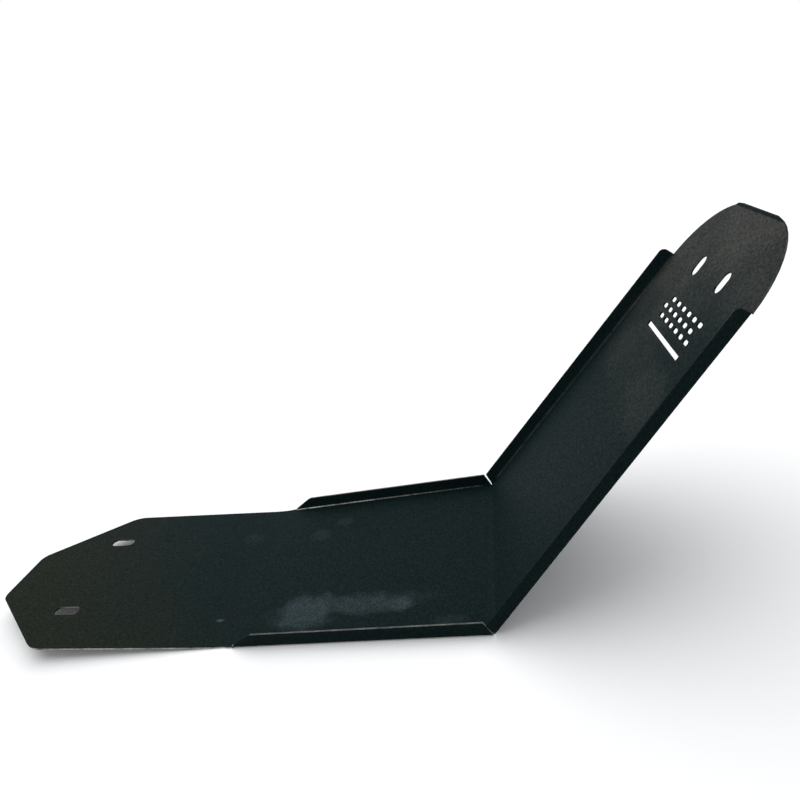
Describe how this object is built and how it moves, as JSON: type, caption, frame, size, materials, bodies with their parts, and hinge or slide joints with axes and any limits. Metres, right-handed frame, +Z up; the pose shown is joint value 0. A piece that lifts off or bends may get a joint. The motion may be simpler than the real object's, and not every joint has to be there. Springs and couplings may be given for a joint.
{
  "type": "skid plate",
  "caption": "Folded steel skid plate for a motorcycle: flanged base, rising front plate with a bent lip and a tapered slotted tail, in black powder coat.",
  "frame": {"origin": "under the middle of the part, level with the underside of the base", "axes": "+X runs from the tail to the front plate, +Y across the plate to its left side, +Z up out of the channel"},
  "size_m": [0.6122, 0.185, 0.2223],
  "materials": {
    "powder_coat": "satin black powder coat on steel sheet, fine grain"
  },
  "bodies": {
    "root": {"skid_plate": "powder_coat"}
  },
  "joints": []
}
